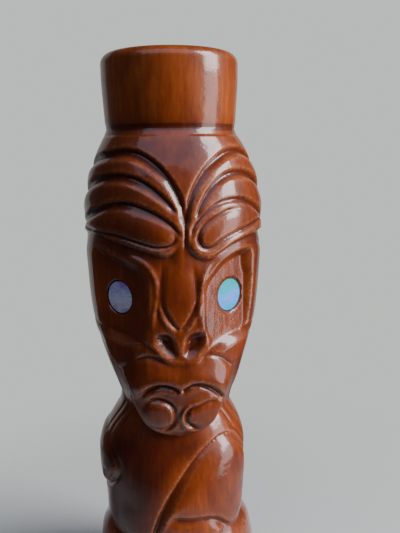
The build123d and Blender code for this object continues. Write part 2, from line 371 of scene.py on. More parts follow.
# ---- the carving ----
def carve_brows(sheet):
    """Three long grooves on each side, and the rims and lobes under them."""
    sheet.measure_from(HEAD_RADIUS)
    left_lines = [
        (
            [
                (-104, 226), (-88, 231), (-74, 234), (-56, 235.8), (-39, 237), (-27, 235.8), (-17, 232.6),
                (-8.5, 228), (-3, 223.3), (1.5, 217.5), (4, 211), (4.6, 203),
            ],
            [1.05, 1.05, 1.05, 1.15, 1.15, 1.0, 0.8],
        ),
        (
            [
                (-104, 213), (-88, 219), (-72, 223), (-58, 225.3), (-43, 226.4), (-31, 225.8), (-20, 223),
                (-11.5, 219), (-4.5, 214.5), (0.5, 209.5),
            ],
            [1.05, 1.05, 1.05, 1.1, 1.05, 0.9, 0.6],
        ),
        (
            [
                (-104, 199), (-86, 204), (-68, 208.8), (-54, 212), (-41, 214.3), (-30, 214.3), (-19, 212),
                (-10, 209), (-2.5, 205), (2.5, 200),
            ],
            [1.0, 1.0, 1.0, 1.05, 1.0, 0.8, 0.5],
        ),
    ]
    right_lines = [
        (
            [
                (4.8, 203), (6, 211), (9, 217.5), (13, 222.8), (20, 228.5), (29, 232.8), (40, 236),
                (52, 237), (66, 236), (80, 232), (94, 226), (106, 219),
            ],
            [0.7, 0.9, 1.1, 1.15, 1.05, 0.95, 0.95, 0.95],
        ),
        (
            [
                (10.5, 207), (16, 215.3), (24, 221.8), (34, 226), (45, 227.2), (57, 226.3), (70, 223.3),
                (83, 218.5), (96, 212), (106, 206),
            ],
            [0.5, 0.9, 1.05, 1.05, 0.95, 0.95, 0.95],
        ),
        (
            [
                (7.5, 199), (9.5, 204.3), (15, 209), (21.5, 212.7), (29, 214.9), (40, 215.6), (51, 214),
                (67, 209.3), (82, 203.5), (96, 197), (106, 191),
            ],
            [0.5, 0.6, 0.7, 0.8, 0.9, 0.95, 0.95],
        ),
    ]
    # The bands between the grooves swell out towards the sides.
    bands = [
        [(-106, 219.5), (-88, 225), (-74, 228.5), (-56, 230.8), (-38, 231.5)],
        [(-106, 206.5), (-88, 212), (-72, 216.4), (-56, 219.5), (-40, 220.5)],
        [(106, 212.5), (94, 218.5), (80, 225), (66, 229.6), (50, 231.6)],
        [(106, 198.5), (96, 205), (82, 211.5), (68, 216.8), (52, 220.5)],
    ]
    for band in bands:
        sheet.ridge(band, 0.8, 3.6, ends=(0.15, 0.5))
    for points, widths in left_lines:
        sheet.groove(points, BROW_DEPTH, 1.6, 3.3, ends=(0.08, 0.05), edge=BROW_EDGE, widths=widths)
    for points, widths in right_lines:
        sheet.groove(points, BROW_DEPTH, 2.2, 2.6, ends=(0.05, 0.08), edge=BROW_EDGE, widths=widths)

    # The forehead between the brows is a little darker.
    forehead = [(-44, 240), (-20, 243), (0, 243.5), (20, 243), (44, 240), (20, 232), (6, 217), (-4, 219),
                (-20, 235)]
    sheet.darken(forehead, FOREHEAD_STAIN, 3.0)

    # Oval lobes under the brows, each in a rim of its own.
    left_lobe = [(-78, 204), (-62, 208), (-45, 210), (-30, 210.6), (-17, 208.3), (-7, 204.8), (-1.5, 201),
                 (-3.5, 197.3), (-12, 196), (-24, 198), (-38, 200.5), (-56, 201.6), (-70, 202)]
    right_lobe = [(76, 205.5), (62, 209), (46, 211.6), (34, 211.3), (24, 208.7), (16.5, 205.3),
                  (12.5, 200.5), (14, 196.2), (20, 195.2), (28, 198.3), (38, 201), (52, 203.5), (66, 205)]
    sheet.swell(left_lobe, 0.7, 5.0)
    sheet.swell(right_lobe, 0.45, 5.0)
    sheet.groove(left_lobe[5:] + left_lobe[:1], 1.5, 1.7, 1.5, ends=(0.15, 0.15), edge=0.35,
                 widths=[0.5, 0.8, 1, 1, 1])
    sheet.groove(right_lobe[2:] + right_lobe[:1], 1.6, 1.4, 1.6, ends=(0.12, 0.12), edge=0.35,
                 widths=[0.5, 0.9, 1, 1, 0.9])

    # The crease where the two rims meet over the nose.
    sheet.groove([(4.4, 208), (4.7, 202), (4.3, 197), (3.5, 191.5)], 1.6, 1.0, 1.0, ends=(0.1, 0.45),
                 edge=0.3, shade_and_stain=0.9)
    # The face steps back under the rims.
    left_rim = [(-104, 196), (-80, 199.3), (-54, 200), (-45, 198.3), (-32, 196.4), (-20, 193.8),
                (-9, 191.6), (-3.5, 192.8), (0, 196), (2.5, 199)]
    right_rim = [(4.5, 201), (5.5, 197.5), (8, 193.5), (13, 190.6), (19.5, 189.8), (27, 192.6), (37, 196.2),
                 (50, 198.3), (69, 199), (88, 197.5), (106, 193)]
    sheet.groove(left_rim, 1.9, 1.5, 9.0, ends=(0.2, 0.12), edge=0.45, shade_and_stain=0.5)
    sheet.groove(right_rim, 2.0, 1.3, 9.0, ends=(0.12, 0.2), edge=0.45, shade_and_stain=0.5)


def socket_wall(sheet):
    """Width of a socket's wall: wider at the foot, at the top and towards the side."""

    def wall(pick):
        low = 1 - step_up(sheet.height[pick], 152, 158)
        top = step_up(sheet.height[pick], 176, 186)
        side = step_up(np.abs(sheet.azimuth[pick]), 46, 54)
        return 1.6 + 2.7 * low + np.maximum(3.4 * top, 1.8 * side)

    return wall


def socket_floor(sheet, eye):
    """Relief that brings the surface down to the flat in which an eye's disc sits."""

    def floor(pick):
        return EYE_SEAT / np.cos(np.radians(sheet.azimuth[pick] - eye)) - sheet.plain[pick]

    return floor


def carve_eyes(sheet):
    """Each socket is a flat cut that runs out at the side, and its lower end is the slope of the cheek."""
    sheet.measure_from(HEAD_RADIUS)
    outlines = {
        "left": [
            (-60, 194.5), (-51, 195.2), (-43.5, 193.6), (-34.5, 191.6), (-23.5, 189.2), (-17.7, 185.5),
            (-14.8, 181), (-14.4, 174), (-16, 168), (-17.5, 161.5), (-17, 155), (-17.5, 149.5), (-25, 150),
            (-36, 150.8), (-46, 152), (-56, 153.4), (-61, 158), (-62, 174), (-62, 188),
        ],
        "right": [
            (55, 192), (50, 194.4), (42, 194), (34.5, 192.8), (25.5, 189.7), (20, 186), (16, 181),
            (14.3, 174), (14, 166), (14.8, 158), (15.5, 151), (18, 145.8), (26, 147.4), (38, 149.3),
            (50, 150.3), (55, 152.5), (56, 160), (56, 184),
        ],
    }
    for name, outline in outlines.items():
        sheet.sink(outline, socket_wall(sheet), socket_floor(sheet, EYES[name]), 0.4)
    # Rounded beads between the sockets and the nose.
    sheet.ridge([(-34, 192.5), (-23, 190), (-16.7, 186.5), (-13.2, 181), (-12.9, 174), (-14.4, 168),
                 (-16, 161.5), (-15.5, 156)], 0.7, 0.9)
    sheet.ridge([(34, 193.8), (25, 191), (18.6, 187.4), (14.4, 181.5), (12.8, 174), (12.4, 166),
                 (13.2, 158.5)], 0.8, 0.9)
    # The right socket's upper crest runs on to the side.
    sheet.groove([(46, 194.3), (56, 195.2), (69, 194.5), (88, 191)], 1.0, 0.8, 4.0, ends=(0.1, 0.4),
                 edge=0.4, shade_and_stain=0.3)


def carve_nose(sheet):
    """The bridge, the flanks, the nostrils and the folds from them to the cheeks."""
    sheet.measure_from(HEAD_RADIUS)
    # Soft hollows either side of the bridge, down to the wings of the nose.
    sheet.groove([(-8.5, 193), (-9.8, 184), (-11.6, 176), (-12.6, 169), (-11.4, 163), (-7, 160)],
                 1.2, 3.4, 2.4, ends=(0.25, 0.3), edge=1.0, shade_and_stain=0.2)
    sheet.groove([(8.5, 191), (9.8, 184), (11.2, 176), (11.8, 169), (10.8, 163), (7, 160)], 1.2, 2.4, 3.4,
                 ends=(0.25, 0.3), edge=1.0, shade_and_stain=0.2)
    # The nose's flanks: two curved cuts that meet at the tip, with a raised edge outside each.
    sheet.groove([(-10.6, 175), (-9, 169.5), (-6.2, 165), (-2.8, 161.2), (0.4, 158.6)], 1.3, 0.7, 2.2,
                 ends=(0.3, 0.05), edge=0.25, widths=[0.5, 1.0, 1.0, 0.7], shade_and_stain=0.2)
    sheet.groove([(11.8, 174.5), (10, 169.5), (7.2, 165.3), (3.8, 161.4), (0.4, 158.6)], 1.3, 2.2, 0.7,
                 ends=(0.3, 0.05), edge=0.25, widths=[0.5, 1.0, 1.0, 0.7], shade_and_stain=0.2)
    sheet.ridge([(-12.4, 172), (-11, 166.5), (-8.4, 162.2), (-4.6, 159.2), (-1, 157.8)], 0.6, 0.8)
    sheet.ridge([(13, 171.5), (11.8, 166.5), (9.2, 162.4), (5.4, 159.2), (1.8, 157.8)], 0.6, 0.8)
    # Nostrils: two hollows with an arched top each, and a raised rim under them.
    left = [(-14.2, 156.5), (-9, 157.6), (-4.8, 156.4), (-2, 153), (-0.9, 147.5), (-3.5, 145.3),
            (-8.5, 146.8), (-12.4, 149.6), (-15, 153.4)]
    right = [(2.2, 146.5), (2.7, 152.8), (5, 156.3), (9.5, 157.8), (15, 157.4), (17, 154.2), (15.6, 150),
             (11.2, 146.4), (6, 144.8)]
    for outline in (left, right):
        sheet.sink(outline, 3.2, -2.8, 0.3)
        # painted shade, darkest in the middle of each nostril
        pick, d = sheet.inside(outline, 1.0)
        sheet.shade_and_stain[pick] = np.maximum(sheet.shade_and_stain[pick], np.clip(d / 3.0, 0, 1) * 0.8)
    sheet.ridge([(-17.5, 155), (-16, 150.5), (-12.6, 147.2), (-6, 144.2), (1, 143), (8, 143.2), (12.8, 145),
                 (17.5, 148)], 0.7, 1.4)
    # Cheeks: a sharp fold from beside the nose up to each side, with a flat facet below it.
    sheet.groove([(9.5, 142), (12.8, 143.8), (18, 146.8), (31, 151.6), (44, 153.6), (57, 154.4), (76, 156),
                  (94, 159)], 2.0, 0.8, 4.4, ends=(0.1, 0.45), edge=0.3, widths=[0.5, 0.9, 1, 1, 0.8, 0.6],
                 shade_and_stain=0.3)
    sheet.groove([(-96, 160), (-80, 158.5), (-66, 157.2), (-46, 156.4), (-35.5, 154.5), (-21.5, 152),
                  (-14, 148.3), (-10, 145.6)], 1.5, 0.8, 3.4, ends=(0.45, 0.15), edge=0.3,
                 widths=[0.5, 0.6, 0.8, 0.9, 1, 0.8, 0.6], shade_and_stain=0.3)


def jaw_arc(centre, wide, tall, start, stop):
    """Nine points of an oval arc on the jaw, from one angle to another."""
    turns = np.radians(np.linspace(start, stop, 9))
    return [(centre[0] + math.degrees(wide * math.cos(a) / JAW_RADIUS), centre[1] + tall * math.sin(a))
            for a in turns]


def carve_mouth(sheet):
    """The lip band, the mouth and the chin."""
    sheet.measure_from(HEAD_RADIUS)
    lip = [(-20, 144.5), (-8, 143), (2, 142.5), (12, 143.3), (22, 143), (30, 140.4), (36.5, 135.5),
           (38.8, 129.5), (37, 124.5), (31.5, 122), (24, 126.5), (16, 130.5), (8.5, 131.3), (1, 129),
           (-5, 131), (-12, 132), (-20, 129.3), (-29, 124.5), (-36.5, 126), (-40, 131), (-38.5, 136.5),
           (-30, 141.8)]
    sheet.swell(lip, 0.9, 6.0)
    sheet.ridge([(-33, 126), (-24, 131), (-16, 134), (-8, 134.6), (0, 133), (8, 134.6), (16, 134),
                 (25, 131), (34, 126)], 2.0, 5.0, ends=(0.15, 0.15))
    # Small folds over the lip, one each side.
    sheet.groove([(13, 144.2), (17, 145.4), (21.5, 145.4), (28, 143.4), (34.5, 139.6), (39, 135.5)],
                 1.2, 1.4, 1.6, ends=(0.3, 0.3), edge=0.3, shade_and_stain=0.5)
    sheet.groove([(-30, 143.3), (-22, 145.8), (-15.5, 145.6), (-10.5, 144), (-6, 141.8)], 1.1, 1.2, 1.9,
                 ends=(0.3, 0.3), edge=0.3, shade_and_stain=0.5)
    # Ends of the lip band, down the cheeks.
    sheet.groove([(34, 141), (40, 136), (42, 130), (39.5, 124.5), (33.5, 121)], 1.0, 2.2, 1.6,
                 ends=(0.3, 0.3), edge=0.5, shade_and_stain=0.5)
    sheet.groove([(-33, 142), (-41, 137), (-44, 131), (-41, 125.5)], 1.0, 1.6, 2.2, ends=(0.3, 0.3),
                 edge=0.5, shade_and_stain=0.5)
    # The mouth: an M whose lower edge catches the light.
    sheet.groove([(-28, 125), (-22, 129), (-16, 131.6), (-11, 132.2), (-5, 131.3), (0.3, 129)],
                 1.6, 0.6, 2.5, ends=(0.3, 0.04), edge=0.2, widths=[0.5, 0.9, 1.1, 1.1, 0.6], shade_and_stain=0.1)
    sheet.groove([(0.3, 129), (4, 130.8), (9, 132.3), (15, 131.6), (23.5, 128), (33.5, 121.5)],
                 2.0, 0.6, 3.4, ends=(0.04, 0.15), edge=0.2, widths=[0.6, 1, 1.1, 1.1, 0.7], shade_and_stain=0.1)
    # Thin beads under the mouth; like every raised crest they are painted paler, partly as wear and partly
    # as a painted highlight.
    sheet.ridge([(-24, 125.6), (-17, 128.8), (-11, 129.6), (-5, 128.9), (-1, 127.6)], 0.5, 0.9)
    sheet.ridge([(2, 127.6), (8, 129.6), (15, 129), (23, 125.8), (31, 121)], 0.5, 0.9)

    # The chin: a round boss and a curl with a leaf in it, either side of a stem.
    sheet.measure_from(JAW_RADIUS)
    boss, curl = (-15.2, 116.2), (13.4, 114.6)
    sheet.swell(jaw_arc(boss, 7.4, 7.6, 0, 320), 1.1, 4.5)
    sheet.groove(jaw_arc(boss, 8.0, 8.2, 140, -95), 1.7, 1.8, 1.1, ends=(0.25, 0.2), edge=0.35, shade_and_stain=0.4)
    sheet.ridge(jaw_arc(boss, 6.4, 6.6, 110, -50), 0.45, 0.9)
    sheet.ridge(jaw_arc(curl, 8.3, 8.0, 85, 300), 0.5, 0.9)
    sheet.groove(jaw_arc(curl, 9.6, 9.2, 130, 235), 1.0, 1.2, 1.6, ends=(0.3, 0.3), edge=0.5, shade_and_stain=0.4)
    sheet.groove(jaw_arc(curl, 6.1, 5.8, 75, 290), 1.9, 1.9, 1.3, ends=(0.25, 0.25), edge=0.35, shade_and_stain=0.6)
    sheet.groove([(7.6, 117), (10.5, 119.6), (14.5, 121.2), (21, 122.6), (28, 122.2)], 1.1, 0.9, 2.4,
                 ends=(0.2, 0.25), edge=0.3, shade_and_stain=0.5)
    # Thin line down the side of the jaw.
    sheet.groove([(-39, 136), (-39.5, 130), (-39.5, 124), (-42, 117)], 0.6, 0.8, 0.8, ends=(0.2, 0.2),
                 edge=0.3)


def carve_arms(sheet):
    """One forearm crosses the belly, and the other arm hangs at the side and ends in a rounded hand."""
    sheet.measure_from(BODY_RADIUS)
    right_arm = [(72, 84), (64, 90), (54, 95.5), (44, 97), (32, 95.5), (20, 91.5), (8, 85), (-3, 76.5),
                 (-12, 67), (-19, 56), (-16, 53), (-6, 60.5), (8, 60), (24, 58.5), (38, 53), (52, 50),
                 (66, 56), (72, 68)]
    sheet.swell(right_arm, 1.9, 9.0)
    sheet.groove([(76, 74), (70, 84), (62, 91), (54, 96.5), (44, 98.7), (32, 97.2), (20, 93.5), (9, 88),
                  (-2, 79.5), (-11, 70.5), (-18, 60.5), (-23, 50), (-25, 42)], 2.4, 3.4, 1.0,
                 ends=(0.2, 0.1), edge=0.4, widths=[0.4, 0.5, 0.45, 0.5, 0.6, 0.8, 1.0, 1.1, 1.0],
                 shade_and_stain=0.6)
    sheet.groove([(-13, 60), (-4, 61), (6, 60), (16, 59.5), (27, 58), (36, 53.5), (46, 49)], 1.8, 1.6, 4.0,
                 ends=(0.2, 0.2), edge=0.6, shade_and_stain=0.6)
    # Folds over the shoulders.
    sheet.groove([(50, 101.5), (60, 97.5), (68, 91.5), (72, 86)], 0.9, 1.2, 1.0, ends=(0.3, 0.3), edge=0.4)
    for turn in (0, 9, 18):
        sheet.groove([(40 + turn, 117), (50 + turn, 111), (57 + turn, 103), (60 + turn, 96)],
                     0.55, 1.2, 2.6, ends=(0.25, 0.35), edge=0.3, shade_and_stain=0.35)
        sheet.groove([(-44 - turn, 116), (-54 - turn, 109), (-60 - turn, 101), (-62 - turn, 93)],
                     0.5, 2.6, 1.2, ends=(0.25, 0.35), edge=0.3, shade_and_stain=0.35)
    left_arm = [(-118, 96), (-98, 99), (-78, 97.5), (-62, 92.5), (-53, 87), (-51, 82), (-55, 77.5),
                (-62, 73.5), (-70, 70.5), (-80, 69), (-94, 69), (-108, 72), (-118, 82)]
    sheet.swell(left_arm, 1.3, 5.0)
    sheet.groove(left_arm[3:12], 1.7, 2.4, 1.2, ends=(0.3, 0.2), edge=0.5, shade_and_stain=0.5)
    for start, end in (((-66, 72.5), (-57, 82)), ((-74, 71), (-66, 80.5))):
        sheet.groove([start, end], 0.8, 0.9, 0.9, ends=(0.2, 0.4), edge=0.3)


def carve_chest(sheet):
    """The chest is hollowed a little between the arms, and painted darker as shade under the chin."""
    sheet.measure_from(BODY_RADIUS)
    sheet.groove([(-34, 98), (-37, 88), (-40, 78), (-44, 66), (-48, 56)], 0.9, 7.0, 5.0, ends=(0.3, 0.3),
                 edge=2.0, shade_and_stain=0.2)
    # painted shade under the chin
    sheet.darken([(-70, 100), (-30, 106), (10, 104), (28, 97), (4, 82), (-14, 66), (-24, 48), (-34, 30),
                  (-60, 34), (-74, 66)], CHEST_SHADE, 12.0)


def on_side(side, points):
    """Points given for the +X side, or mirrored for the other when side is -1."""
    return [(side * azimuth, height) for azimuth, height in points]


def carve_legs(sheet):
    """Bent legs on the plinth, one each side."""
    sheet.measure_from(BODY_RADIUS)
    thigh = [(14, 36), (22, 44), (36, 47.5), (54, 48), (74, 50), (96, 46), (104, 34), (92, 24), (72, 22),
             (52, 26), (34, 27), (20, 29)]
    shin = [(13, 14), (14, 22), (22, 26), (34, 24.5), (46, 22), (54, 17), (54, 13.4), (34, 12.8),
            (18, 12.8)]
    fold = [(8, 28), (20, 28.3), (34, 26), (52, 24.3), (72, 20.5), (90, 20)]
    over = [(10, 33), (15, 41), (26, 47), (42, 50), (58, 50.5), (76, 54)]
    for side in (-1, 1):
        sheet.swell(on_side(side, thigh), 2.2, 8.0)
        sheet.swell(on_side(side, shin), 1.6, 4.0)
        sheet.groove(on_side(side, fold), 1.5, 1.6, 1.6, ends=(0.15, 0.35), edge=0.5)
        sheet.groove(on_side(side, over), 1.3, 1.6, 1.6, ends=(0.2, 0.3), edge=0.5)
        for toe in (24, 34, 44):
            sheet.groove(on_side(side, [(toe, 12.5), (toe - 1, 18)]), 1.0, 1.0, 1.0, ends=(0, 0.4),
                         edge=0.3)


def carve_back(sheet):
    """Shoulder blades, spine and seat."""
    sheet.measure_from(BODY_RADIUS, 180.0)
    sheet.groove([(-62, 70), (-44, 82), (-24, 90), (0, 93.5), (24, 90), (44, 82), (62, 70)], 1.4, 2.0, 5.0,
                 ends=(0.2, 0.2), edge=0.8)
    sheet.groove([(0, 92), (0, 76), (0, 60), (0, 42)], 1.2, 3.5, 3.5, ends=(0.15, 0.25), edge=1.0)
    sheet.groove([(-50, 26), (-26, 22), (0, 27), (26, 22), (50, 26)], 1.4, 4.0, 2.0, ends=(0.2, 0.2),
                 edge=0.7)


FACE_STEP = 0.9  # degrees between points on the face
BACK_STEP = 3.2  # what is added to that behind
FACE_END, BACK_START = 96, 130  # azimuths between which the step widens
LEG_STEP, BODY_STEP, HEAD_STEP = 1.6, 0.85, 0.68  # heights between rows of points


def wood_grid():
    """Azimuths and heights of the sculpted surface: close together on the face, wider apart behind."""
    azimuths = [0.0]
    while azimuths[-1] < 180:
        widening = float(step_up(np.array(azimuths[-1]), FACE_END, BACK_START))
        azimuths.append(azimuths[-1] + (FACE_STEP + BACK_STEP * widening))
    azimuths = np.array(azimuths[:-1]) * (180 / azimuths[-1])
    azimuths = np.concatenate([-azimuths[:0:-1], azimuths, [180.0]])
    heights = np.concatenate([
        [0, 0.5, 1.0, 1.5, 4, 8, 10.8, 11.2, 11.6, 11.99, 12.4, 12.9],
        np.arange(13.6, 50, LEG_STEP),
        np.arange(50.8, 103, BODY_STEP),
        np.arange(103, 243.8, HEAD_STEP),
        [244, 244.8, 245.6, 246.4, 247, 247.5, 248, 248.8, 249.6, 250.1, 250.5],
        [253, 258, 264, 269, TOTAL_HEIGHT - RIM_ROUNDING],
    ])
    rim = TOTAL_HEIGHT - RIM_ROUNDING + RIM_ROUNDING * np.sin(np.radians(np.linspace(9, 90, 10)))
    return azimuths, np.concatenate([heights, rim])


def snap_to_pockets(azimuth, height):
    """Moves the points near each eye's pocket onto its rim, so the hole has a clean edge."""
    for eye in EYES.values():
        across = np.radians(azimuth - eye) * EYE_SEAT
        off = np.hypot(across, height - EYE_HEIGHT)
        inner = (POCKET_RADIUS - POCKET_RING, POCKET_RADIUS, POCKET_RADIUS - POCKET_STEP)
        outer = (POCKET_RADIUS, POCKET_RADIUS + POCKET_RING, POCKET_RADIUS + POCKET_STEP)
        for low, high, target in (inner, outer):
            ring = (off >= low) & (off < high)
            scale = target / off[ring]
            azimuth[ring] = eye + np.degrees(across[ring] * scale / EYE_SEAT)
            height[ring] = EYE_HEIGHT + (height[ring] - EYE_HEIGHT) * scale


def sculpt():
    """The carved surface: azimuth, height and radius of each point, its painted shade and stain, and its
    pale crests, which are partly wear and partly painted highlight.
    """
    azimuth, height = np.meshgrid(*wood_grid())
    snap_to_pockets(azimuth, height)
    sheet = Sheet(azimuth, height)
    carve_brows(sheet)
    carve_nose(sheet)
    carve_eyes(sheet)
    carve_mouth(sheet)
    carve_arms(sheet)
    carve_chest(sheet)
    carve_legs(sheet)
    carve_back(sheet)
    # painted shadow: a dark line in the groove under the collar
    sheet.shade_and_stain[np.abs(height - NECK_GROOVE[0] - 0.4) < NECK_SHADE_REACH] = NECK_SHADE
    radius = sheet.plain + sheet.relief
    for eye in EYES.values():
        turn = np.radians(azimuth - eye)
        off = np.hypot(turn * EYE_SEAT, height - EYE_HEIGHT)
        pocket = off < POCKET_RADIUS
        radius[pocket] = (EYE_SEAT - POCKET_DEPTH) / np.cos(turn[pocket])
        # painted shade in the eye's pocket
        sheet.shade_and_stain[pocket] = 1
    return azimuth, height, radius, sheet.shade_and_stain, worn_and_lit_edges(sheet.relief)


def bore_profile():
    """Radius and height down the inside: the lip, the bore's wall and its rounded floor."""
    edge = TOTAL_HEIGHT - LIP_ROUNDING
    profile = []
    for turn in np.radians(np.linspace(90, 0, 5)):
        radius = BORE_RADIUS + LIP_ROUNDING - LIP_ROUNDING * math.cos(turn)
        profile.append((radius, edge + LIP_ROUNDING * math.sin(turn)))
    profile += [(BORE_RADIUS, z) for z in np.linspace(edge - 4, BORE_FLOOR + BORE_FLOOR_ROUNDING, 8)]
    for turn in np.radians(np.linspace(15, 90, 6)):
        radius = BORE_RADIUS - BORE_FLOOR_ROUNDING * (1 - math.cos(turn))
        profile.append((radius, BORE_FLOOR + BORE_FLOOR_ROUNDING * (1 - math.sin(turn))))
    profile.append((8.0, BORE_FLOOR))
    return profile


def on_rings(azimuth, radius, height):
    """Points at these angles and distances round the upright axis."""
    a = np.radians(azimuth)
    return np.stack([radius * np.sin(a), -radius * np.cos(a), height], -1)


def wood_mesh():
    """One closed surface: outside from the foot to the rim, then down the bore, with a fan at each end."""
    azimuth, height, radius, shade_and_stain, wear_and_highlight = sculpt()
    rows, columns = azimuth.shape
    outer = on_rings(azimuth, radius, height)
    rings = [on_rings(azimuth[-1], r, np.full(columns, z)) for r, z in bore_profile()]
    points = np.concatenate([outer.reshape(-1, 3), *rings, [[0, 0, BORE_FLOOR]], [[0, 0, 0]]])
    total = rows + len(rings)
    index = np.arange(total * columns).reshape(total, columns)
    beside = np.roll(index, -1, axis=1)
    quads = np.stack([index[:-1], beside[:-1], beside[1:], index[1:]], -1).reshape(-1, 4)
    bore_centre, foot_centre = total * columns, total * columns + 1
    fans = [(int(a), int(b), bore_centre) for a, b in zip(index[-1], beside[-1])]
    fans += [(int(b), int(a), foot_centre) for a, b in zip(index[0], beside[0])]
    mesh = bpy.data.meshes.new("carved_wood")
    mesh.from_pydata((points * MM).tolist(), [], quads.tolist() + fans)
    mesh.update()
    # painted per point: shade and stain, and pale crests that are partly wear and partly painted highlight
    for name, amount in (("shade_and_stain", shade_and_stain), ("wear_and_highlight", wear_and_highlight)):
        layer = mesh.attributes.new(name, "FLOAT", "POINT")
        values = np.zeros(len(points), np.float32)
        values[: amount.size] = amount.ravel()
        layer.data.foreach_set("value", values)
    mesh.polygons.foreach_set("use_smooth", [True] * len(mesh.polygons))
    mesh.validate()
    return mesh


# ---- materials ----
WOOD_DARK = (0.130, 0.0170, 0.0018)
WOOD_MIDDLE = (0.185, 0.0310, 0.0034)
WOOD_LIGHT = (0.260, 0.0540, 0.0065)
# colour of the pale crests: partly wear, partly painted highlight
WORN_AND_LIT_WOOD = (0.400, 0.1300, 0.0500)
COLLAR_PALE = (0.246, 0.262)  # heights in metres between which the wood turns paler
COLLAR_TINT = (1.45, 1.75, 1.9)
# tint of the painted shade and stain
SHADE_AND_STAIN_TINT = (0.35, 0.22, 0.16)
PATCH_TINTS = [(0.32, (0.42, 0.32, 0.24)), (0.52, (0.95, 0.9, 0.85)), (0.7, (1.3, 1.4, 1.5))]
SCUFFS = [(0.35, (0.0, 0.0, 0.0)), (0.65, (0.75, 0.75, 0.75))]
BRIGHT_SHELL = [
    (0.0, (0.00, 0.34, 0.62)),
    (0.3, (0.05, 0.30, 0.78)),
    (0.48, (0.16, 0.28, 0.80)),
    (0.6, (0.00, 0.40, 0.66)),
    (0.9, (0.00, 0.38, 0.38)),
]
MUTED_SHELL = [
    (0.0, (0.36, 0.34, 0.50)),
    (0.35, (0.66, 0.62, 0.74)),
    (0.6, (0.50, 0.52, 0.70)),
    (0.95, (0.34, 0.20, 0.60)),
]
PITCH = [(0.3, (0.004, 0.003, 0.003)), (0.8, (0.02, 0.012, 0.01))]


def new_material(name):
    material = bpy.data.materials.new(name)
    material.use_nodes = True
    nodes = material.node_tree.nodes
    shader = nodes["Principled BSDF"]
    return material, nodes, material.node_tree.links, shader


def noise(nodes, links, vector, scale, detail=4.0, roughness=0.55, distortion=0.0):
    node = nodes.new("ShaderNodeTexNoise")
    node.inputs["Scale"].default_value = scale
    node.inputs["Detail"].default_value = detail
    node.inputs["Roughness"].default_value = roughness
    node.inputs["Distortion"].default_value = distortion
    links.new(vector, node.inputs["Vector"])
    return node.outputs["Fac"]


def stretched(nodes, links, vector, stretch):
    node = nodes.new("ShaderNodeMapping")
    node.inputs["Scale"].default_value = stretch
    links.new(vector, node.inputs["Vector"])
    return node.outputs["Vector"]


def ramp(nodes, links, value, stops):
    node = nodes.new("ShaderNodeValToRGB")
    elements = node.color_ramp.elements
    while len(elements) < len(stops):
        elements.new(0.5)
    for element, (place, colour) in zip(elements, stops):
        element.position = place
        element.color = (*colour, 1)
    links.new(value, node.inputs["Fac"])
    return node.outputs["Color"]


def mix(nodes, links, factor, a, b, blend="MIX"):
    node = nodes.new("ShaderNodeMix")
    node.data_type = "RGBA"
    node.blend_type = blend
    for socket, value in ((0, factor), (6, a), (7, b)):
        if isinstance(value, (int, float)):
            node.inputs[socket].default_value = value
        elif isinstance(value, tuple):
            node.inputs[socket].default_value = (*value, 1)
        else:
            links.new(value, node.inputs[socket])
    return node.outputs[2]


def bump(nodes, links, height, strength, distance, normal=None):
    node = nodes.new("ShaderNodeBump")
    node.inputs["Strength"].default_value = strength
    node.inputs["Distance"].default_value = distance
    links.new(height, node.inputs["Height"])
    if normal is not None:
        links.new(normal, node.inputs["Normal"])
    return node.outputs["Normal"]


def painted(nodes, name):
    """A value painted on the mesh's points."""
    node = nodes.new("ShaderNodeAttribute")
    node.attribute_name = name
    return node.outputs["Fac"]


